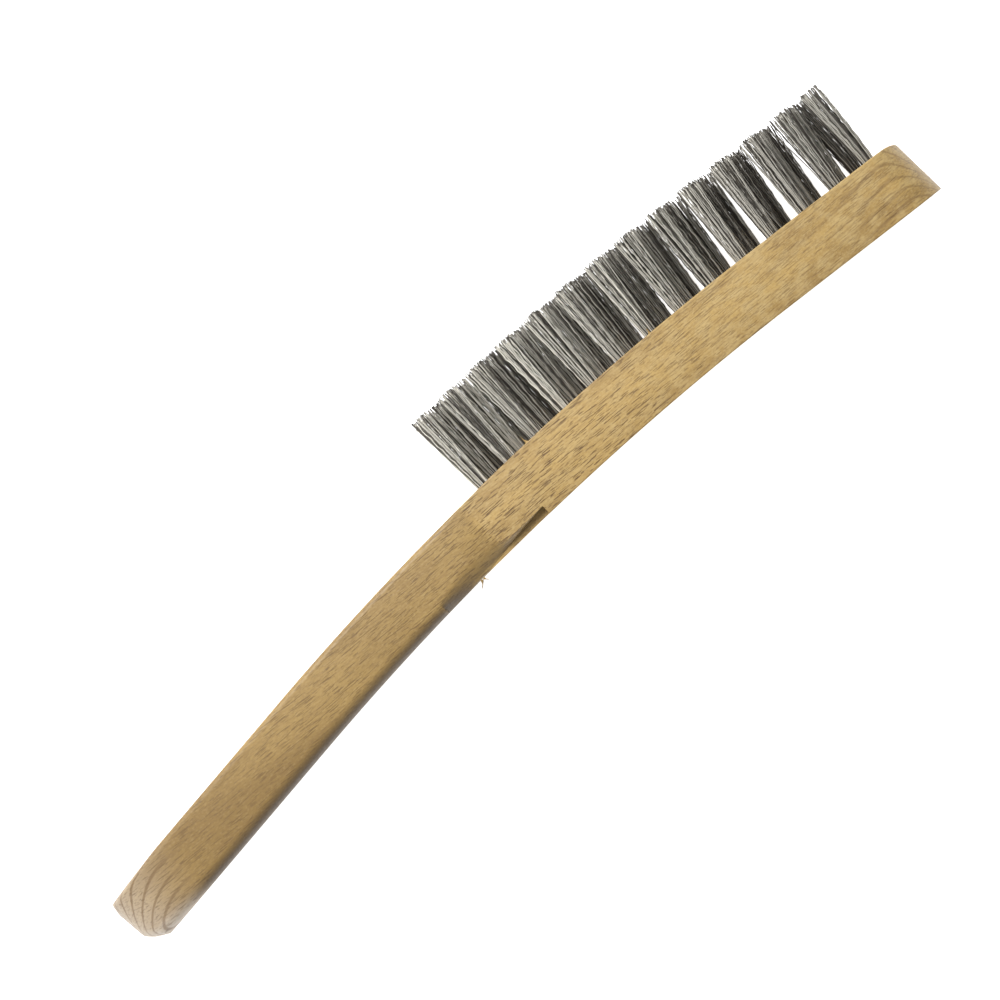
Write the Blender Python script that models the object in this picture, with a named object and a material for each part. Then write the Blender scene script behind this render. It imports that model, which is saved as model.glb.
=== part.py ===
"""Hand wire brush: a curved beech block holding three staggered rows of steel wire tufts.

The brush lies on its flat side. +X runs to the nose, +Y the way the bristles point, and +Z up
across the block's width. The origin is at the middle of the underside of the overall box.
"""

import math

import bmesh
import bpy
from mathutils import Matrix, Vector

# Block
THICKNESS = 0.0175
WIDTH = 0.025
GRIP_LENGTH = 0.1407  # tail to the line where the head's flat sides begin
NECK_MARGIN = 0.0079  # that line to the first tuft's centre
NOSE_MARGIN = 0.0126  # last tuft's centre to the nose
STRAIGHT_GRIP = 0.0711
BEND_RADIUS = 0.810
BEND_ANGLE = math.radians(11.9)

# Grip
GRIP_RECESS = 0.0007  # how far the grip's flat sides lie below the head's
RECESS_CUTTER_RADIUS = 0.060
GRIP_BACK_RADIUS = 0.004
GRIP_FRONT_RADIUS = 0.0015
EDGE_RADIUS = 0.0003
MOST_OF_WALL = 0.8  # the share of a narrow end's half width that a round-over may take

# Ends
TAIL_ROUND = 0.0215
TAIL_TAPER_LENGTH = 0.0212
TAIL_TAPER = 0.00086
TAIL_CHAMFER_LENGTH = 0.0015
TAIL_CHAMFER = 0.0021
TAIL_HEEL_LENGTH = 0.0062
TAIL_HEEL = 0.0033
HEEL_CHAMFER_LENGTH = 0.00205
HEEL_CHAMFER = 0.001
NOSE_SLANT = 0.0026
NOSE_DROP_LENGTH = 0.0075
NOSE_DROP = 0.0013
END_FLAT = 0.003

# Ledge beside the neck, left where the shaping cutter stopped
LEDGE_BEFORE_NECK = 0.0088
LEDGE_PAST_NECK = 0.0152
LEDGE_HEIGHT = 0.0026
LEDGE_DEPTH = 0.0025

# Tufts
ROWS = (("near", 14), ("middle", 13), ("far", 13))
PITCH_AT_NECK = 0.0095  # the tufts stand closest at the neck, and further apart towards the nose
PITCH_AT_NOSE = 0.0106
ROW_SPACING = 0.007
ROW_STAGGER = 0.0037  # how much further along each row starts than the row above it
TRIM_HEIGHT = 0.024
TUFT_ROOT_DIAMETER = 0.0033
TUFT_TIP_DIAMETER = 0.0064
HOLE_DEPTH = 0.0105
CLEARANCE = 0.0003
ANCHOR_THICKNESS = 0.0005
ANCHOR_HEIGHT = 0.0014
FOLD_WAIST = 0.0026  # width of the folded wires where the anchor crosses them
FOLD_HEIGHT = 0.0032  # how far the fold reaches up before the wires are a round bundle
TIP_ROUND = 0.0011

# Cutters stand this far out of the wood
OVERCUT = 0.002

# Mesh fineness
BODY_STEPS = 30
END_STEPS = 8
BACK_CORNER_STEPS = 4
FRONT_CORNER_STEPS = 2
HOLE_SIDES = 14
TUFT_SIDES = 12
SHARP_ANGLE = math.radians(35)

# Worked out from the sizes above
TUFT_GAPS = ROWS[0][1] - 1
FIELD_LENGTH = TUFT_GAPS * (PITCH_AT_NECK + PITCH_AT_NOSE) / 2
FIRST_TUFT = GRIP_LENGTH + NECK_MARGIN
LENGTH = FIRST_TUFT + FIELD_LENGTH + NOSE_MARGIN
LEDGE_START = GRIP_LENGTH - LEDGE_BEFORE_NECK
LEDGE_STEP = GRIP_LENGTH + LEDGE_PAST_NECK
BEND_LENGTH = BEND_RADIUS * BEND_ANGLE
HALF_THICKNESS = THICKNESS / 2
NOSE_ROUND = WIDTH / 2
RUN_OUT = math.sqrt(2 * RECESS_CUTTER_RADIUS * GRIP_RECESS)
HOLE_DIAMETER = TUFT_ROOT_DIAMETER + 2 * CLEARANCE


def clear_scene():
    for old in list(bpy.data.objects):
        bpy.data.objects.remove(old)


def material(name, colour, roughness, metallic):
    made = bpy.data.materials.new(name)
    made.use_nodes = True
    shader = made.node_tree.nodes["Principled BSDF"]
    shader.inputs["Base Color"].default_value = (*colour, 1)
    shader.inputs["Roughness"].default_value = roughness
    shader.inputs["Metallic"].default_value = metallic
    made.diffuse_color = (*colour, 1)
    return made


def add_object(name, mesh, parent, finish=None):
    made = bpy.data.objects.new(name, mesh)
    bpy.context.scene.collection.objects.link(made)
    made.parent = parent
    if finish and not mesh.materials:
        mesh.materials.append(finish)
    return made


def mesh_from(bm, name):
    bmesh.ops.recalc_face_normals(bm, faces=bm.faces)
    mesh = bpy.data.meshes.new(name)
    bm.to_mesh(mesh)
    bm.free()
    return mesh


# The block's middle line


def bend_run(station):
    """Length of bend between the straight grip and this station."""
    return min(max(station - STRAIGHT_GRIP, 0), BEND_LENGTH)


def frame_at(station):
    """Place and axes at a station: X along the block, Y to the bristle side, Z across."""
    middle = FIRST_TUFT + FIELD_LENGTH / 2
    heading = (bend_run(middle) - bend_run(station)) / BEND_RADIUS
    turn = Matrix.Rotation(heading, 4, "Z")
    straight = station - STRAIGHT_GRIP - bend_run(station)
    return turn @ Matrix.Translation((straight, BEND_RADIUS, 0))


def block_point(station, out, across):
    return frame_at(station) @ Vector((0, out, across))


# Outline of the block, by station


def recess(station):
    """Depth of the grip's flat side below the head's; it runs out on the cutter's radius."""
    run = min(max(station - (GRIP_LENGTH - RUN_OUT), 0), RUN_OUT)
    return GRIP_RECESS - run**2 / (2 * RECESS_CUTTER_RADIUS)


def end_round(station):
    """Share of the full width that the rounded ends leave, seen from the bristle side."""
    into_tail = max(TAIL_ROUND - station, 0) / TAIL_ROUND
    into_nose = max(station - (LENGTH - NOSE_ROUND), 0) / NOSE_ROUND
    return math.sqrt(max(1 - into_tail**2 - into_nose**2, 0))


def half_width(station):
    full = WIDTH / 2 - recess(station)
    return max(full * end_round(station), END_FLAT / 2)


def front_edge(station):
    taper = TAIL_TAPER * max(1 - station / TAIL_TAPER_LENGTH, 0)
    chamfer = TAIL_CHAMFER * max(1 - station / TAIL_CHAMFER_LENGTH, 0)
    into_nose = max(station - (LENGTH - NOSE_DROP_LENGTH), 0) / NOSE_DROP_LENGTH
    return HALF_THICKNESS - taper - chamfer - NOSE_DROP * into_nose**2


def back_edge(station):
    heel = TAIL_HEEL * max(1 - station / TAIL_HEEL_LENGTH, 0)
    chamfer = HEEL_CHAMFER * max(1 - station / HEEL_CHAMFER_LENGTH, 0)
    return heel + chamfer - HALF_THICKNESS


def back_radius(station):
    """The grip's round-over on the back edge, which fades out between the ledge's ends."""
    fade = min(max((station - LEDGE_START) / (LEDGE_STEP - LEDGE_START), 0), 1)
    return GRIP_BACK_RADIUS + (EDGE_RADIUS - GRIP_BACK_RADIUS) * fade


def front_radius(station):
    return GRIP_FRONT_RADIUS if station < GRIP_LENGTH - RUN_OUT else EDGE_RADIUS


def corner(out, across, radius, turn, steps):
    """Points of a rounded corner, given the sharp corner and the quadrant it points into."""
    turns = [turn + math.pi / 2 * step / steps for step in range(steps + 1)]
    side_out = math.copysign(1, math.cos(turn + math.pi / 4))
    side_across = math.copysign(1, math.sin(turn + math.pi / 4))
    centre = (out - side_out * radius, across - side_across * radius)
    return [(centre[0] + radius * math.cos(a), centre[1] + radius * math.sin(a)) for a in turns]


def section(station):
    """Closed outline of the block at a station, as points in its frame."""
    wide = half_width(station)
    front, back = front_edge(station), back_edge(station)
    fine = min(front_radius(station), MOST_OF_WALL * wide)
    broad = min(back_radius(station), MOST_OF_WALL * wide)
    outline = (
        corner(front, wide, fine, 0, FRONT_CORNER_STEPS)
        + corner(back, wide, broad, math.pi / 2, BACK_CORNER_STEPS)
        + corner(back, -wide, broad, math.pi, BACK_CORNER_STEPS)
        + corner(front, -wide, fine, 3 * math.pi / 2, FRONT_CORNER_STEPS)
    )
    lean = NOSE_SLANT * max(1 - (LENGTH - station) / (2 * NOSE_ROUND), 0) / THICKNESS
    frame = frame_at(station)
    return [frame @ Vector((-lean * (out + HALF_THICKNESS), out, across)) for out, across in outline]


def stations():
    tail = [TAIL_ROUND * (1 - math.cos(math.pi / 2 * i / END_STEPS)) for i in range(END_STEPS)]
    nose = [NOSE_ROUND * (1 - math.sin(math.pi / 2 * i / END_STEPS)) for i in range(END_STEPS)]
    run = LENGTH - NOSE_ROUND - TAIL_ROUND
    body = [TAIL_ROUND + run * i / BODY_STEPS for i in range(BODY_STEPS)]
    facets = [TAIL_CHAMFER_LENGTH, HEEL_CHAMFER_LENGTH, TAIL_HEEL_LENGTH]
    marks = [GRIP_LENGTH - RUN_OUT, GRIP_LENGTH, LEDGE_START]
    return sorted(tail + facets + body + marks + [LENGTH - back for back in nose] + [LENGTH])


def lofted(rings):
    """A closed shape through these rings of points, each extruded from the one before."""
    bm = bmesh.new()
    end = bm.faces.new([bm.verts.new(point) for point in rings[0]])
    for ring in rings[1:]:
        end = bmesh.ops.extrude_discrete_faces(bm, faces=[end])["faces"][0]
        for vert, point in zip(end.verts, ring):
            vert.co = point
    bmesh.ops.edgeloop_fill(bm, edges=[edge for edge in bm.edges if edge.is_boundary])
    return bm


def block_mesh():
    return mesh_from(lofted([section(station) for station in stations()]), "block")


def run_of_tufts(gaps):
    """Length that this many gaps between tufts take up, from the first tuft of a row."""
    return PITCH_AT_NECK * gaps + (PITCH_AT_NOSE - PITCH_AT_NECK) * gaps**2 / (2 * TUFT_GAPS)


def tuft_places():
    """Name, station and row height of each tuft. The near and far rows end side by side."""
    places = []
    for row, (name, count) in enumerate(ROWS):
        stations_in_row = [run_of_tufts(i) + row * ROW_STAGGER for i in range(count)]
        if name == "far":
            stations_in_row[-1] = FIELD_LENGTH
        for i, run in enumerate(stations_in_row):
            place = (f"tuft_{name}_{i + 1:02d}", FIRST_TUFT + run, (1 - row) * ROW_SPACING)
            places.append(place)
    return places


def seat(station, across):
    """Frame of a tuft at the wood's surface: Z out of the wood, X along the row."""
    upright = Matrix.Rotation(-math.pi / 2, 4, "X")
    return frame_at(station) @ Matrix.Translation((0, HALF_THICKNESS, across)) @ upright


def hole_cutter(parent):
    bm = bmesh.new()
    middle = Matrix.Translation((0, 0, (OVERCUT - HOLE_DEPTH) / 2))
    for _, station, across in tuft_places():
        bmesh.ops.create_cone(
            bm,
            cap_ends=True,
            segments=HOLE_SIDES,
            radius1=HOLE_DIAMETER / 2,
            radius2=HOLE_DIAMETER / 2,
            depth=HOLE_DEPTH + OVERCUT,
            matrix=seat(station, across) @ middle,
        )
    return add_cutter("hole_cutter", bm, parent)


def ledge_cutter(parent):
    """Two wedges that leave a ledge on each flat side, next to the back edge."""
    bm = bmesh.new()
    tip = LEDGE_START - OVERCUT * (LEDGE_STEP - LEDGE_START) / LEDGE_HEIGHT
    for side in (1, -1):
        inner = side * (WIDTH / 2 - LEDGE_DEPTH)
        corners = (
            (tip, -HALF_THICKNESS - OVERCUT),
            (LEDGE_STEP, LEDGE_HEIGHT - HALF_THICKNESS),
            (LEDGE_STEP, -HALF_THICKNESS - OVERCUT),
        )
        wedge = bm.faces.new([bm.verts.new(block_point(s, out, inner)) for s, out in corners])
        grown = bmesh.ops.extrude_face_region(bm, geom=[wedge])
        raised = [v for v in grown["geom"] if isinstance(v, bmesh.types.BMVert)]
        bmesh.ops.translate(bm, verts=raised, vec=(0, 0, side * (LEDGE_DEPTH + OVERCUT)))
    return add_cutter("ledge_cutter", bm, parent)


def add_cutter(name, bm, parent):
    cutter = add_object(name, mesh_from(bm, name), parent)
    cutter.hide_render = True
    cutter.display_type = "WIRE"
    return cutter


def cut(target, cutter):
    step = target.modifiers.new(cutter.name, "BOOLEAN")
    step.operation = "DIFFERENCE"
    step.solver = "EXACT"
    step.object = cutter


def oval(height, long, short):
    """Ring of points of a tuft's cross-section."""
    turns = [2 * math.pi * side / TUFT_SIDES for side in range(TUFT_SIDES)]
    return [Vector((short * math.cos(a), long * math.sin(a), height)) for a in turns]


def tuft_mesh():
    """A bundle of wires: folded round its anchor in the hole, flaring a little outside."""
    depth = HOLE_DEPTH - CLEARANCE
    root, tip, waist = TUFT_ROOT_DIAMETER / 2, TUFT_TIP_DIAMETER / 2, FOLD_WAIST / 2
    rings = (
        (-depth, root / 2, waist / 2),
        (waist / 2 - depth, root, waist),
        (FOLD_HEIGHT / 2 - depth, root, waist),
        (FOLD_HEIGHT + root - depth, root, root),
        (0, root, root),
        (TRIM_HEIGHT - TIP_ROUND, tip, tip),
        (TRIM_HEIGHT, tip - TIP_ROUND / 2, tip - TIP_ROUND / 2),
    )
    return mesh_from(lofted([oval(*ring) for ring in rings]), "tuft_wires")


def anchor_mesh():
    bm = bmesh.new()
    size = (TUFT_ROOT_DIAMETER, ANCHOR_THICKNESS, ANCHOR_HEIGHT)
    bmesh.ops.create_cube(bm, size=1)
    bmesh.ops.scale(bm, vec=size, verts=bm.verts)
    height = FOLD_HEIGHT / 2 - HOLE_DEPTH + CLEARANCE
    bmesh.ops.translate(bm, verts=bm.verts, vec=(0, 0, height))
    return mesh_from(bm, "anchor")


def anchored_tuft():
    """One mesh for every tuft: the wire bundle with its anchor joined to it."""
    wires = add_object("tuft_wires", tuft_mesh(), None)
    anchor = add_object("anchor", anchor_mesh(), None)
    join = wires.modifiers.new("anchor", "BOOLEAN")
    join.operation = "UNION"
    join.solver = "EXACT"
    join.object = anchor
    graph = bpy.context.evaluated_depsgraph_get()
    joined = bpy.data.meshes.new_from_object(wires.evaluated_get(graph))
    joined.name = "anchored_tuft"
    bpy.data.objects.remove(wires)
    bpy.data.objects.remove(anchor)
    return joined


def shade(mesh):
    mesh.shade_smooth()
    mesh.set_sharp_from_angle(angle=SHARP_ANGLE)


def middle_of_underside(objects):
    """Centre of the lowest face of the box round these objects."""
    bpy.context.view_layer.update()
    points = [o.matrix_world @ v.co for o in objects for v in o.data.vertices]
    low = [min(p[axis] for p in points) for axis in range(3)]
    high = [max(p[axis] for p in points) for axis in range(3)]
    return Vector(((low[0] + high[0]) / 2, (low[1] + high[1]) / 2, low[2]))


def build():
    clear_scene()
    beech = material("oiled_beech", (0.50, 0.34, 0.15), 0.5, 0)
    steel = material("steel_wire", (0.36, 0.35, 0.32), 0.35, 0.9)
    brush = bpy.data.objects.new("brush", None)
    bpy.context.scene.collection.objects.link(brush)

    block = add_object("block", block_mesh(), brush, beech)
    cut(block, ledge_cutter(brush))
    cut(block, hole_cutter(brush))
    shade(block.data)

    shared = anchored_tuft()
    shade(shared)
    tufts = []
    for name, station, across in tuft_places():
        tuft = add_object(name, shared, brush, steel)
        tuft.matrix_local = seat(station, across)
        tufts.append(tuft)

    brush.location = -middle_of_underside([block, *tufts])


build()
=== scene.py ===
"""Looks of the hand wire brush: a beech block with sawn grain and tufts of crimped steel wire."""

import math
import random

import bmesh
import bpy
from mathutils import Matrix, Vector


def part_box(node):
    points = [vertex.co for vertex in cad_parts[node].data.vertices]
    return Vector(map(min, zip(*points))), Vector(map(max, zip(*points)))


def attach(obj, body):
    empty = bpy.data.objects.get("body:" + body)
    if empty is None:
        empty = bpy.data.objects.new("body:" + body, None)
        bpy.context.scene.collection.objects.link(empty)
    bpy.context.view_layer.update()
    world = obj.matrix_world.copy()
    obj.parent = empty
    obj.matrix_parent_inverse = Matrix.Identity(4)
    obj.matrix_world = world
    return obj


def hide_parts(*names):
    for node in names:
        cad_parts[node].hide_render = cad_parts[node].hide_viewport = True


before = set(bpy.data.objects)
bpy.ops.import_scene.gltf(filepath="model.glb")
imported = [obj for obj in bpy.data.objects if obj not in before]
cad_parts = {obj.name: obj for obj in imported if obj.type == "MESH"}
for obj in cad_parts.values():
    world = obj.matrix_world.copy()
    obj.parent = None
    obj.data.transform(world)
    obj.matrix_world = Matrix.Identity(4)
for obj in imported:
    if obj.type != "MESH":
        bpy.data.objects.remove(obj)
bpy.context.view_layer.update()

# Block, as the frame has it
THICKNESS = 0.0175
WIDTH = 0.025
GRIP_LENGTH = 0.1407
NECK_MARGIN = 0.0079
NOSE_MARGIN = 0.0126
STRAIGHT_GRIP = 0.0711
BEND_RADIUS = 0.810
BEND_ANGLE = math.radians(11.9)
GRIP_RECESS = 0.0007
RECESS_CUTTER_RADIUS = 0.060
GRIP_BACK_RADIUS = 0.004
GRIP_FRONT_RADIUS = 0.0015
EDGE_RADIUS = 0.0004
MOST_OF_WALL = 0.8
TAIL_ROUND = 0.0215
TAIL_TAPER_LENGTH = 0.0212
TAIL_TAPER = 0.00086
TAIL_CHAMFER_LENGTH = 0.0015
TAIL_CHAMFER = 0.0021
TAIL_HEEL_LENGTH = 0.0062
TAIL_HEEL = 0.0033
HEEL_CHAMFER_LENGTH = 0.00205
HEEL_CHAMFER = 0.001
NOSE_SLANT = 0.0026
NOSE_DROP_LENGTH = 0.0075
NOSE_DROP = 0.0013
END_FLAT = 0.003
LEDGE_BEFORE_NECK = 0.0088
LEDGE_PAST_NECK = 0.0152
LEDGE_HEIGHT = 0.0026
LEDGE_DEPTH = 0.0025
SCOOP_BEFORE_NECK = 0.022  # the scoop above the ledge grows out of the grip's round-over here
SCOOP_AT_STEP = 0.0026
SCOOP_AT_NECK = 0.004  # how much wider it gets at the neck
SCOOP_CREASE = 0.0006  # it is still rising this much where it meets the head's flat side
SCOOP_STEPS = 12
SCOOP_STATIONS = 48
OVERCUT = 0.002

# Tufts, as the frame has them
ROWS = (("near", 14), ("middle", 13), ("far", 13))
PITCH_AT_NECK = 0.0095
PITCH_AT_NOSE = 0.0106
ROW_SPACING = 0.007
ROW_STAGGER = 0.0037
TRIM_HEIGHT = 0.024
TUFT_ROOT_DIAMETER = 0.0038
TUFT_TIP_DIAMETER = 0.0064
HOLE_DEPTH = 0.0105
HOLE_DIAMETER = 0.0039

# Wires
WIRES_PER_TUFT = 56
WIRE_RADIUS = 0.00016
WIRE_SIDES = 3
WIRE_CUTS = 17  # the first stretch is in the hole, and the others are even
IN_HOLE = -0.0005
FOOT_CLEARANCE = 0.0012
GOLDEN_TURN = math.radians(137.5)
FANNING = 0.85
LEAN_SPREAD = 0.00028
CRIMP_LENGTH = 0.0045
CRIMP_SWING = 0.00013
PROUD = 0.0003  # the longest wires stand this much past the trim line
RAGGED = 0.0020
STRAY_BOW = 0.0004
ANCHOR_SIZE = (0.0033, 0.0005, 0.0014)
ANCHOR_HEIGHT = -0.0086
LEANS = {"far_13": -0.0020, "near_14": -0.0012}
STRAYS = {"near_13": (-0.0018, -0.0048), "near_11": (0.0031, 0.0004)}

# Brightness of the wires, with painted shade: the middle and far rows darker, and every row darker
# towards the nose
ROW_SHADING = {"near": 1.0, "middle": 0.62, "far": 0.42}
NOSE_DIMMING = 0.62
DIMS_FROM, DIMS_TO = 0.010, 0.120
BRIGHT_SHARE = 0.64
BRIGHT_TONES = (0.45, 1.00)
DARK_TONES = (0.0, 0.12)
STRAY_TONE = 0.3
ANCHOR_TONE = 0.5
DARK_END = 0.95  # the cut ends of the wires are dull past this share of their length
DARK_END_TONE = 0.3

# Splinters: station, distance from the middle line, height, turn, length, thickness and curl
SLIVERS = (
    (0.1310, -0.0087, 0.0101, 158, 0.0022, 0.00038, 0.0009),
    (0.1316, -0.0087, 0.0096, 196, 0.0015, 0.00030, -0.0005),
    (0.1645, 0.0086, 0.0102, 35, 0.0021, 0.00042, 0.0011),
    (0.2065, 0.0086, 0.0100, -30, 0.0016, 0.00036, -0.0007),
)

# Growth rings: where the pith lay under the block, as (Y, Z)
PITH = (0.0200, -0.036)
PITH_SLANT = 0.075
RING_WIDTH = 0.0019
RING_WANDER = 0.0016

# Where the wood changes, as X where a change starts and X where it is complete
TAIL_FADE = (-0.116, -0.129)
NOSE_FADE = (0.113, 0.127)
FIGURE_FADE = (0.020, 0.095)
GRIP_FADE = (-0.008, -0.022)
# the grip darkening towards the tail is handling wear and partly painted shade
WEAR_AND_SHADE_FADE = (-0.100, 0.015)
# where the painted sheen over the tail's end comes in
PALE_FADE = (-0.118, -0.144)
STEP_FADE = (0.0110, 0.0106)

# The same by depth below the head's flat sides
RECESSED = (0.00003, 0.00020)
# DEEPER_IN_SCOOP and ABOVE_LEDGE place the painted shade in the scoop; NEAR_ROUNDING places the
# painted shade and sheen on the back rounding
DEEPER_IN_SCOOP = (0.0003, 0.0024)
ABOVE_LEDGE = (0.00249, 0.00242)
NEAR_ROUNDING = (0.0085, 0.0042)

# Colours of the wood, linear
GRIP_SHADE = (0.205, 0.125, 0.033, 1)
GRIP_LIGHT = (0.270, 0.172, 0.050, 1)
HEAD_SHADE = (0.292, 0.185, 0.055, 1)
HEAD_LIGHT = (0.392, 0.258, 0.083, 1)
CURL_LIGHT = (0.414, 0.294, 0.119, 1)
GRAIN_BROWN = (0.163, 0.091, 0.028, 1)
FIBRE_BROWN = (0.179, 0.103, 0.034, 1)
PORE_BROWN = (0.150, 0.088, 0.030, 1)
SPECKLE_LIGHT = (0.456, 0.343, 0.165, 1)
# painted sheen, pale grey, at the tail
SHEEN_PALE = (0.450, 0.395, 0.335, 1)
RING_BROWN = (0.133, 0.073, 0.024, 1)
FLECK_BROWN = (0.088, 0.043, 0.010, 1)
# painted shade, on the grip's back rounding and in the scoop above the ledge
PAINTED_SHADE_BROWN = (0.052, 0.032, 0.016, 1)

# Colours of the steel, linear
STEEL_DARK = (0.036, 0.031, 0.025, 1)
STEEL_BRIGHT = (1.0, 0.96, 0.85, 1)
STAIN_BROWN = (0.12, 0.092, 0.066, 1)

# Mesh fineness
BODY_STEPS = 110
END_STEPS = 22
BACK_CORNER_STEPS = 9
FRONT_CORNER_STEPS = 5
HOLE_SIDES = 24
SHARP_ANGLE = math.radians(28)

# Worked out from the sizes above
TUFT_GAPS = ROWS[0][1] - 1
FIELD_LENGTH = TUFT_GAPS * (PITCH_AT_NECK + PITCH_AT_NOSE) / 2
FIRST_TUFT = GRIP_LENGTH + NECK_MARGIN
LENGTH = FIRST_TUFT + FIELD_LENGTH + NOSE_MARGIN
LEDGE_START = GRIP_LENGTH - LEDGE_BEFORE_NECK
LEDGE_STEP = GRIP_LENGTH + LEDGE_PAST_NECK
SCOOP_START = GRIP_LENGTH - SCOOP_BEFORE_NECK
BEND_LENGTH = BEND_RADIUS * BEND_ANGLE
HALF_THICKNESS = THICKNESS / 2
NOSE_ROUND = WIDTH / 2
RUN_OUT = math.sqrt(2 * RECESS_CUTTER_RADIUS * GRIP_RECESS)

# Materials


class Value:
    """A shader socket that takes part in Python expressions."""

    def __init__(self, finish, socket):
        self.finish = finish
        self.socket = socket

    def maths(self, operation, *others):
        numbered = dict(enumerate((self, *others)))
        return self.finish.node("ShaderNodeMath", {"operation": operation}, numbered)

    def __add__(self, other):
        return self.maths("ADD", other)

    def __sub__(self, other):
        return self.maths("SUBTRACT", other)

    def __rsub__(self, other):
        return self.finish.node("ShaderNodeMath", {"operation": "SUBTRACT"}, {0: other, 1: self})

    def __mul__(self, other):
        return self.maths("MULTIPLY", other)

    def __pow__(self, other):
        return self.maths("POWER", other)

    __radd__ = __add__
    __rmul__ = __mul__


class Finish:
    """One material and its nodes. The keywords are constants of its shader."""

    def __init__(self, name, constants):
        self.material = bpy.data.materials.new(name)
        self.material.use_nodes = True
        self.tree = self.material.node_tree
        self.shader = self.tree.nodes["Principled BSDF"]
        for socket, value in constants.items():
            self.feed(self.shader.inputs[socket], value)

    def feed(self, socket, value):
        if isinstance(value, Value):
            self.tree.links.new(value.socket, socket)
        else:
            socket.default_value = value

    def node(self, kind, settings, inputs, output=0):
        made = self.tree.nodes.new(kind)
        for name, value in settings.items():
            setattr(made, name, value)
        for name, value in inputs.items():
            self.feed(made.inputs[name], value)
        return Value(self, made.outputs[output])

    def paint(self, socket, value):
        self.feed(self.shader.inputs[socket], value)

    def place(self):
        return self.node("ShaderNodeTexCoord", {}, {}, "Object")

    def along(self, axis):
        return self.node("ShaderNodeSeparateXYZ", {}, {"Vector": self.place()}, axis)

    def attribute(self, name):
        return self.node("ShaderNodeAttribute", {"attribute_name": name}, {}, "Fac")

    def noise(self, size, detail=2.0):
        """Noise whose features have this size along X, Y and Z, in metres."""
        scale = [1 / step for step in size]
        stretched = self.node("ShaderNodeMapping", {}, {"Vector": self.place(), "Scale": scale})
        return self.node(
            "ShaderNodeTexNoise", {}, {"Vector": stretched, "Scale": 1.0, "Detail": detail}
        )

    def between(self, value, low, high):
        """0 at low, 1 at high, and smooth between them, whichever of the two is greater."""
        limits = {"Value": value, "From Min": low, "From Max": high}
        return self.node("ShaderNodeMapRange", {"interpolation_type": "SMOOTHSTEP"}, limits)

    def mix(self, share, first, second):
        """The first colour where share is 0, the second where it is 1."""
        colours = {0: share, 6: first, 7: second}
        return self.node("ShaderNodeMix", {"data_type": "RGBA"}, colours, 2)

    def bump(self, height, distance, strength):
        sockets = {"Height": height, "Distance": distance, "Strength": strength}
        self.paint("Normal", self.node("ShaderNodeBump", {}, sockets))


def ring_lines(finish, x, y, across):
    """Growth rings round the pith, as thin dark lines."""
    aside = y - PITH[0] - x * PITH_SLANT
    under = across + (WIDTH / 2 - PITH[1])
    radius = (aside**2 + under**2) ** 0.5
    wander = finish.noise((0.070, 0.015, 0.015), 1.0) * RING_WANDER
    turns = (radius + wander) * (2 * math.pi / RING_WIDTH)
    return finish.between(turns.maths("SINE"), 0.62, 1.0)


def fleck_lines(finish):
    """The short dark rays of beech, long and short ones."""
    long = finish.between(finish.noise((0.0042, 0.00027, 0.00070), 0.0), 0.676, 0.690)
    short = finish.between(finish.noise((0.0024, 0.00025, 0.00055), 0.0), 0.686, 0.699)
    return long.maths("MAXIMUM", short * 0.75)


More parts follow.
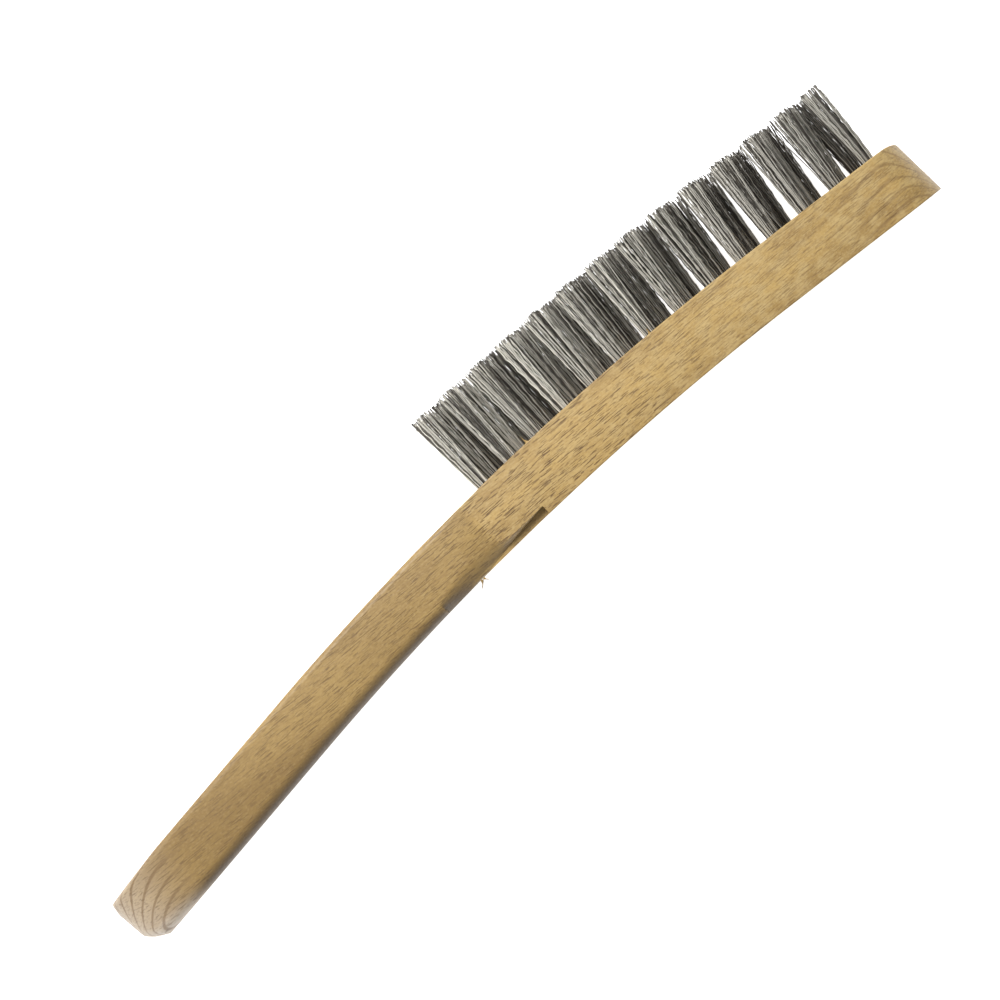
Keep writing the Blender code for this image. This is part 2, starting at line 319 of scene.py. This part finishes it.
def beech():
    """Flat-sawn beech: fine grain, short dark rays, growth rings, a grip dark with use and partly
    with painted shade, painted shade along the grip's back rounding and in the scoop by the neck,
    and a painted sheen at the tail.
    """
    finish = Finish("oiled_beech", {"Coat Roughness": 0.34})
    x = finish.along("X")
    across = finish.along("Z") - WIDTH / 2
    below = WIDTH / 2 - across.maths("ABSOLUTE")

    tail = finish.between(x, *TAIL_FADE)
    nose = finish.between(x, *NOSE_FADE)
    figured = finish.between(x, *FIGURE_FADE)
    on_grip = finish.between(x, *GRIP_FADE)
    behind_step = finish.between(x, *STEP_FADE)
    handled = finish.between(below, *RECESSED) * behind_step
    # The grip darkens towards the tail: handling wear, and partly painted shade
    clean_and_lit = (1 - handled) + handled * finish.between(x, *WEAR_AND_SHADE_FADE) * 0.42
    # Painted shade: darker in the scoop above the ledge, most next to the ledge line, and along the
    # grip's back rounding
    hollow = finish.between(below, *DEEPER_IN_SCOOP) * finish.between(below, *ABOVE_LEDGE)
    rounded = finish.attribute("back") * finish.between(below, *NEAR_ROUNDING)
    painted_shade = rounded * on_grip * (1 - tail) + hollow * behind_step * (1 - on_grip) * 0.60
    # Painted sheen: paler grey on the back rounding at the tail, and over the tail's end
    painted_sheen = rounded * tail * 0.45 + finish.between(x, *PALE_FADE) * 0.42

    cloud = finish.between(finish.noise((0.040, 0.010, 0.010), 1.0), 0.32, 0.68)
    curl = finish.between(finish.noise((0.0042, 0.0030, 0.0030), 3.0), 0.38, 0.66)
    grain = finish.between(finish.noise((0.030, 0.00060, 0.0012), 3.0), 0.45, 0.80)
    fibre = finish.noise((0.0026, 0.00024, 0.00040), 2.0)
    speckle = finish.noise((0.00060, 0.00034, 0.00034), 2.0)
    rings = ring_lines(finish, x, finish.along("Y"), across)
    flecks = fleck_lines(finish) * ((0.62 + clean_and_lit * 0.38) * (1 - figured * 0.50))

    shade = finish.mix(clean_and_lit, GRIP_SHADE, HEAD_SHADE)
    light = finish.mix(clean_and_lit, GRIP_LIGHT, HEAD_LIGHT)
    wood = finish.mix(cloud, shade, light)
    layers = (
        (curl * clean_and_lit * (0.42 + figured * 0.40), CURL_LIGHT),
        (grain * 0.45, GRAIN_BROWN),
        (finish.between(fibre, 0.42, 0.80) * 0.42, FIBRE_BROWN),
        (finish.between(speckle, 0.48, 0.26) * 0.34, PORE_BROWN),
        (finish.between(speckle, 0.50, 0.74) * (0.16 + clean_and_lit * 0.16), SPECKLE_LIGHT),
        (painted_sheen, SHEEN_PALE),
        (rings * (0.04 + tail * 0.62 + nose * 0.38), RING_BROWN),
        (flecks * 0.90, FLECK_BROWN),
        (painted_shade * 0.78, PAINTED_SHADE_BROWN),
    )
    for share, colour in layers:
        wood = finish.mix(share, wood, colour)
    finish.paint("Base Color", wood)
    finish.paint("Roughness", 0.42 + fibre * 0.24)
    finish.paint("Coat Weight", 0.06 + tail * 0.16)
    finish.bump(fibre + speckle * 0.5 - flecks, 0.00010, 0.50)
    return finish.material


def steel():
    """Drawn steel wire, from bright to nearly black, each wire with its own tone, and painted shade
    on the middle and far rows and towards the nose.
    """
    finish = Finish("steel_wire", {"Metallic": 0.40})
    dull = finish.noise((0.0012, 0.0030, 0.0012))
    shade = finish.mix(finish.attribute("tone"), STEEL_DARK, STEEL_BRIGHT)
    stain = finish.between(dull, 0.50, 0.78) * 0.38
    finish.paint("Base Color", finish.mix(stain, shade, STAIN_BROWN))
    finish.paint("Roughness", 0.26 + dull * 0.20)
    return finish.material


def floor_finish():
    white = {"Base Color": (1, 1, 1, 1), "Emission Color": (1, 1, 1, 1)}
    return Finish("studio_floor", {**white, "Roughness": 0.9, "Emission Strength": 0.80}).material


# The block's middle line and outline


def bend_run(station):
    return min(max(station - STRAIGHT_GRIP, 0), BEND_LENGTH)


def frame_at(station):
    """Place and axes at a station: X along the block, Y to the bristle side, Z across."""
    middle = FIRST_TUFT + FIELD_LENGTH / 2
    heading = (bend_run(middle) - bend_run(station)) / BEND_RADIUS
    turn = Matrix.Rotation(heading, 4, "Z")
    straight = station - STRAIGHT_GRIP - bend_run(station)
    return turn @ Matrix.Translation((straight, BEND_RADIUS, 0))


def recess(station):
    run = min(max(station - (GRIP_LENGTH - RUN_OUT), 0), RUN_OUT)
    return GRIP_RECESS - run**2 / (2 * RECESS_CUTTER_RADIUS)


def end_round(station):
    into_tail = max(TAIL_ROUND - station, 0) / TAIL_ROUND
    into_nose = max(station - (LENGTH - NOSE_ROUND), 0) / NOSE_ROUND
    return math.sqrt(max(1 - into_tail**2 - into_nose**2, 0))


def half_width(station):
    return max((WIDTH / 2 - recess(station)) * end_round(station), END_FLAT / 2)


def front_edge(station):
    taper = TAIL_TAPER * max(1 - station / TAIL_TAPER_LENGTH, 0)
    chamfer = TAIL_CHAMFER * max(1 - station / TAIL_CHAMFER_LENGTH, 0)
    into_nose = max(station - (LENGTH - NOSE_DROP_LENGTH), 0) / NOSE_DROP_LENGTH
    return HALF_THICKNESS - taper - chamfer - NOSE_DROP * into_nose**2


def back_edge(station):
    heel = TAIL_HEEL * max(1 - station / TAIL_HEEL_LENGTH, 0)
    chamfer = HEEL_CHAMFER * max(1 - station / HEEL_CHAMFER_LENGTH, 0)
    return heel + chamfer - HALF_THICKNESS


def faded(before, after, start, end, station):
    """Before, up to the start, then evenly to after at the end."""
    share = min(max((station - start) / (end - start), 0), 1)
    return before + (after - before) * share


def corner(out, across, radius, turn, steps):
    """Points of a rounded corner, a quarter turn on from the given turn."""
    turns = [turn + math.pi / 2 * step / steps for step in range(steps + 1)]
    side_out = math.copysign(1, math.cos(turn + math.pi / 4))
    side_across = math.copysign(1, math.sin(turn + math.pi / 4))
    centre = (out - side_out * radius, across - side_across * radius)
    return [(centre[0] + radius * math.cos(a), centre[1] + radius * math.sin(a)) for a in turns]


def section(station):
    """Closed outline of the block at a station."""
    wide = half_width(station)
    front, back = front_edge(station), back_edge(station)
    neck = GRIP_LENGTH - RUN_OUT
    fine = faded(GRIP_FRONT_RADIUS, EDGE_RADIUS, neck, GRIP_LENGTH, station)
    broad = faded(GRIP_BACK_RADIUS, EDGE_RADIUS, LEDGE_START, LEDGE_STEP, station)
    fine, broad = min(fine, MOST_OF_WALL * wide), min(broad, MOST_OF_WALL * wide)
    outline = (
        corner(front, wide, fine, 0, FRONT_CORNER_STEPS)
        + corner(back, wide, broad, math.pi / 2, BACK_CORNER_STEPS)
        + corner(back, -wide, broad, math.pi, BACK_CORNER_STEPS)
        + corner(front, -wide, fine, 3 * math.pi / 2, FRONT_CORNER_STEPS)
    )
    lean = NOSE_SLANT * max(1 - (LENGTH - station) / (2 * NOSE_ROUND), 0) / THICKNESS
    place = frame_at(station)
    points = [(-lean * (out + HALF_THICKNESS), out, across) for out, across in outline]
    return [place @ Vector(point) for point in points]


def stations():
    tail = [TAIL_ROUND * (1 - math.cos(math.pi / 2 * i / END_STEPS)) for i in range(END_STEPS)]
    nose = [NOSE_ROUND * (1 - math.sin(math.pi / 2 * i / END_STEPS)) for i in range(END_STEPS)]
    run = LENGTH - NOSE_ROUND - TAIL_ROUND
    body = [TAIL_ROUND + run * i / BODY_STEPS for i in range(BODY_STEPS)]
    facets = [TAIL_CHAMFER_LENGTH, HEEL_CHAMFER_LENGTH, TAIL_HEEL_LENGTH]
    marks = [GRIP_LENGTH - RUN_OUT, GRIP_LENGTH, LEDGE_START]
    return sorted(tail + facets + body + marks + [LENGTH - back for back in nose] + [LENGTH])


def seat(station, across):
    """Frame of a tuft at the wood's surface: Z out of the wood, Y across the block."""
    upright = Matrix.Rotation(-math.pi / 2, 4, "X")
    return frame_at(station) @ Matrix.Translation((0, HALF_THICKNESS, across)) @ upright


def run_of_tufts(gaps):
    """Length that this many gaps between tufts take up, from the first tuft of a row."""
    return PITCH_AT_NECK * gaps + (PITCH_AT_NOSE - PITCH_AT_NECK) * gaps**2 / (2 * TUFT_GAPS)


def tuft_places():
    """Name, station and row height of each tuft. The near and far rows end side by side."""
    places = []
    for row, (name, count) in enumerate(ROWS):
        runs = [run_of_tufts(i) + row * ROW_STAGGER for i in range(count)]
        if name == "far":
            runs[-1] = FIELD_LENGTH
        for i, run in enumerate(runs):
            places.append((f"{name}_{i + 1:02d}", FIRST_TUFT + run, (1 - row) * ROW_SPACING))
    return places


# Pieces


def add_piece(name, mesh, finish):
    piece = bpy.data.objects.new(name, mesh)
    bpy.context.scene.collection.objects.link(piece)
    mesh.materials.append(finish)
    return piece


def finished(bm, name):
    bmesh.ops.recalc_face_normals(bm, faces=bm.faces)
    mesh = bpy.data.meshes.new(name)
    bm.to_mesh(mesh)
    bm.free()
    return mesh


def lofted(rings):
    """A closed body through these rings of points."""
    bm = bmesh.new()
    end = bm.faces.new([bm.verts.new(point) for point in rings[0]])
    for ring in rings[1:]:
        end = bmesh.ops.extrude_discrete_faces(bm, faces=[end])["faces"][0]
        for vert, point in zip(end.verts, ring):
            vert.co = point
    bmesh.ops.edgeloop_fill(bm, edges=[edge for edge in bm.edges if edge.is_boundary])
    return bm


def hole_cutter():
    bm = bmesh.new()
    middle = Matrix.Translation((0, 0, (OVERCUT - HOLE_DEPTH) / 2))
    for _, station, across in tuft_places():
        bmesh.ops.create_cone(
            bm,
            cap_ends=True,
            segments=HOLE_SIDES,
            radius1=HOLE_DIAMETER / 2,
            radius2=HOLE_DIAMETER / 2,
            depth=HOLE_DEPTH + OVERCUT,
            matrix=seat(station, across) @ middle,
        )
    return bm


def scoop_section(station, side):
    """What the shaping cutter takes off at a station: down to the ledge, and a curve up from it."""
    ledge = faded(0, LEDGE_HEIGHT, LEDGE_START, LEDGE_STEP, station)
    grown = faded(0, 1, SCOOP_START, LEDGE_START, station)
    left = faded(1, 0, GRIP_LENGTH, LEDGE_STEP, station)
    wide = max(SCOOP_AT_STEP * left**0.8 + SCOOP_AT_NECK * left**10, 0.0001)
    width = GRIP_BACK_RADIUS + (wide - GRIP_BACK_RADIUS) * grown
    rise = faded(0.00001, SCOOP_CREASE, GRIP_LENGTH - RUN_OUT, GRIP_LENGTH, station)
    top = WIDTH / 2 - recess(station) + rise
    floor = top - rise - GRIP_BACK_RADIUS * (1 - grown) - LEDGE_DEPTH * grown
    start = ledge - HALF_THICKNESS
    shares = [i / SCOOP_STEPS for i in range(SCOOP_STEPS + 1)]
    curve = [(start + width * t, top - (top - floor) * (1 - t) ** 2) for t in shares]
    below = (-HALF_THICKNESS - OVERCUT, floor)
    above = (-HALF_THICKNESS - OVERCUT, top + OVERCUT)
    over = (start + width + 0.0001, top + OVERCUT)
    place = frame_at(station)
    return [place @ Vector((0, out, side * across)) for out, across in [below, *curve, over, above]]


def ledge_cutter():
    """The two runs of the shaping cutter beside the neck, each ending in the step."""
    bm = bmesh.new()
    reach = LEDGE_STEP - SCOOP_START
    marks = [SCOOP_START + reach * i / SCOOP_STATIONS for i in range(SCOOP_STATIONS + 1)]
    for side in (1, -1):
        run = finished(lofted([scoop_section(station, side) for station in marks]), "scoop")
        bm.from_mesh(run)
        bpy.data.meshes.remove(run)
    return bm


def cut(piece, bm, name):
    """Cuts the shape in bm out of the piece, for good."""
    cutter = bpy.data.objects.new(name, finished(bm, name))
    bpy.context.scene.collection.objects.link(cutter)
    step = piece.modifiers.new(name, "BOOLEAN")
    step.operation = "DIFFERENCE"
    step.solver = "EXACT"
    step.object = cutter
    graph = bpy.context.evaluated_depsgraph_get()
    mesh = bpy.data.meshes.new_from_object(piece.evaluated_get(graph))
    piece.modifiers.clear()
    piece.data = mesh
    bpy.data.objects.remove(cutter)


def make_block(finish):
    mesh = finished(lofted([section(station) for station in stations()]), "block")
    block = add_piece("beech_block", mesh, finish)
    cut(block, ledge_cutter(), "ledge_cutter")
    cut(block, hole_cutter(), "hole_cutter")
    return block


def stem(sides, foot, tip, cuts):
    """A bar from 0 to 1 along Z, with these radii, cut across into even lengths."""
    bm = bmesh.new()
    middle = Matrix.Translation((0, 0, 0.5))
    bmesh.ops.create_cone(
        bm, cap_ends=True, segments=sides, radius1=foot, radius2=tip, depth=1, matrix=middle
    )
    lengthwise = [edge for edge in bm.edges if abs(edge.verts[0].co.z - edge.verts[1].co.z) > 0.5]
    bmesh.ops.subdivide_edges(bm, edges=lengthwise, cuts=cuts, use_grid_fill=True)
    return bm


def sliver_mesh(length, thick, curl):
    """A torn splinter of wood that curls up from its root."""
    bm = stem(5, 1, 0.15, 6)
    for vert in bm.verts:
        share = vert.co.z
        ripple = 1 + 0.3 * math.sin(9 * share)
        x = vert.co.x * thick * ripple + curl * share**2
        vert.co = (x, vert.co.y * thick * 0.5, length * share)
    return finished(bm, "sliver")


def mark_back(block):
    """Marks how far each point faces the back edge, where painted shade darkens the grip's rounding
    and a painted sheen lightens it at the tail.
    """
    mesh = block.data
    back = [min(max((-vert.normal.y - 0.12) / 0.6, 0), 1) for vert in mesh.vertices]
    mesh.attributes.new("back", "FLOAT", "POINT").data.foreach_set("value", back)


def add_slivers(block, move):
    """Splinters come after the block is in its place, so that they don't shift it."""
    bm = bmesh.new()
    bm.from_mesh(block.data)
    for station, out, across, turn, length, thick, curl in SLIVERS:
        mesh = sliver_mesh(length, thick, curl)
        tilt = Matrix.Rotation(math.radians(turn), 4, "Z") @ Matrix.Rotation(-math.pi / 2, 4, "X")
        mesh.transform(move @ frame_at(station) @ Matrix.Translation((0, out, across)) @ tilt)
        bm.from_mesh(mesh)
        bpy.data.meshes.remove(mesh)
    bm.to_mesh(block.data)
    bm.free()


def wire_route(draw, number, lean):
    """Where a wire's middle runs. The wires fill their tuft evenly, as seeds fill a flower."""
    spread = math.sqrt((number + draw.uniform(0.3, 0.7)) / WIRES_PER_TUFT)
    angle = number * GOLDEN_TURN + draw.uniform(-0.25, 0.25)
    root = (TUFT_ROOT_DIAMETER / 2 - WIRE_RADIUS) * spread
    tip = (TUFT_TIP_DIAMETER / 2 - WIRE_RADIUS) * spread * draw.uniform(0.85, 1.10)
    aside = draw.gauss(0, LEAN_SPREAD) + lean
    phase = draw.uniform(0, 2 * math.pi)
    swing = CRIMP_SWING * draw.uniform(0.4, 1.5)
    plane = draw.uniform(0, 2 * math.pi)
    top = TRIM_HEIGHT + PROUD - RAGGED * draw.random() ** 2

    def at(share):
        climbed = (share * (WIRE_CUTS + 1) - 1) / WIRE_CUTS
        if climbed > -0.01:
            height = IN_HOLE + (top - IN_HOLE) * climbed
        else:
            height = FOOT_CLEARANCE - HOLE_DEPTH
        above = max(height, 0) / TRIM_HEIGHT
        radius = root + (tip - root) * above**FANNING
        crimp = swing * min(above * 6, 1) * math.sin(2 * math.pi * height / CRIMP_LENGTH + phase)
        x = radius * math.cos(angle) + aside * above**1.5 + crimp * math.cos(plane)
        y = radius * math.sin(angle) + crimp * math.sin(plane)
        return Vector((x, y, height))

    return at


def stray_route(root, tip):
    """A wire that stands apart from its tuft, by its distance along the row at root and tip."""

    def at(share):
        height = (TRIM_HEIGHT - 0.001) * share - 0.001
        bow = STRAY_BOW * math.sin(math.pi * share)
        return Vector((root + (tip - root) * share + bow, 0, height))

    return at


def wire_tone(draw):
    """Some wires catch the light along their length and the rest stay dark."""
    tones = BRIGHT_TONES if draw.random() < BRIGHT_SHARE else DARK_TONES
    return draw.uniform(*tones)


def tuft_mesh(name, place, wire, draw):
    bm = bmesh.new()
    tones = []
    row = name.split("_")[0]
    # Painted shade: the middle and far rows darker, and all rows darker towards the nose
    lit = ROW_SHADING[row] * faded(1, NOSE_DIMMING, DIMS_FROM, DIMS_TO, place.translation.x)
    lean = LEANS.get(name, 0)
    routes = [(wire_route(draw, i, lean), wire_tone(draw)) for i in range(WIRES_PER_TUFT)]
    if name in STRAYS:
        routes.append((stray_route(*STRAYS[name]), STRAY_TONE))
    for route, tone in routes:
        first = len(bm.verts)
        bm.from_mesh(wire)
        bm.verts.ensure_lookup_table()
        for vert in bm.verts[first:]:
            share = vert.co.z
            side = Vector((vert.co.x, vert.co.y, 0))
            vert.co = place @ (route(share) + side)
            tones.append(tone * lit * (DARK_END_TONE if share > DARK_END else 1))
    anchor = bmesh.ops.create_cube(bm, size=1)["verts"]
    bmesh.ops.scale(bm, vec=ANCHOR_SIZE, verts=anchor)
    bmesh.ops.translate(bm, vec=(0, 0, ANCHOR_HEIGHT), verts=anchor)
    bmesh.ops.transform(bm, matrix=place, verts=anchor)
    tones += [ANCHOR_TONE] * len(anchor)
    mesh = finished(bm, f"wires_{name}")
    mesh.attributes.new("tone", "FLOAT", "POINT").data.foreach_set("value", tones)
    mesh.shade_smooth()
    return mesh


def shift_to_frame(block):
    """Moves the block's mesh to where the frame's block is, and returns that move."""
    low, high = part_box("block")
    points = [vert.co for vert in block.data.vertices]
    centre = [(min(p[a] for p in points) + max(p[a] for p in points)) / 2 for a in range(3)]
    move = Matrix.Translation((low + high) / 2 - Vector(centre))
    block.data.transform(move)
    return move


def make_brush():
    block = make_block(beech())
    move = shift_to_frame(block)
    add_slivers(block, move)
    mark_back(block)
    block.data.shade_smooth()
    block.data.set_sharp_from_angle(angle=SHARP_ANGLE)
    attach(block, "root")
    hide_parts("block")

    wire_finish = steel()
    wire = finished(stem(WIRE_SIDES, WIRE_RADIUS, WIRE_RADIUS, WIRE_CUTS), "straight_wire")
    draw = random.Random(7)
    for name, station, across in tuft_places():
        mesh = tuft_mesh(name, move @ seat(station, across), wire, draw)
        tuft = add_piece(f"wires_{name}", mesh, wire_finish)
        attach(tuft, "root")
        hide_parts(f"tuft_{name}")


# Studio


def add_light(name, place, target, size, power):
    light = bpy.data.lights.new(name, "AREA")
    light.size = size
    light.energy = power
    lamp = bpy.data.objects.new(name, light)
    lamp.location = place
    lamp.rotation_euler = (Vector(target) - Vector(place)).to_track_quat("-Z", "Y").to_euler()
    bpy.context.scene.collection.objects.link(lamp)


def make_studio():
    bm = bmesh.new()
    bmesh.ops.create_grid(bm, x_segments=1, y_segments=1, size=3)
    floor = add_piece("floor", finished(bm, "floor"), floor_finish())

    world = bpy.data.worlds.new("studio")
    world.use_nodes = True
    world.node_tree.nodes["Background"].inputs["Color"].default_value = (1, 1, 1, 1)
    world.node_tree.nodes["Background"].inputs["Strength"].default_value = 0.42
    bpy.context.scene.world = world
    add_light("key", (-0.10, 0.50, 0.62), (0, 0, 0.01), 0.30, 9.5)
    add_light("tail", (-0.52, -0.24, 0.22), (-0.14, -0.03, 0.01), 0.16, 1.0)
    bpy.context.scene.view_settings.view_transform = "Standard"


def add_camera():
    """Looks straight down on the flat side, with the block's length turned on the frame."""
    camera = bpy.data.cameras.new("camera")
    camera.lens = 64.4
    camera.clip_start = 0.01
    holder = bpy.data.objects.new("camera", camera)
    holder.location = (0.0027, 0, 0.488)
    holder.rotation_euler = (0, 0, math.radians(-39.59))
    bpy.context.scene.collection.objects.link(holder)
    bpy.context.scene.camera = holder


make_brush()
make_studio()
add_camera()
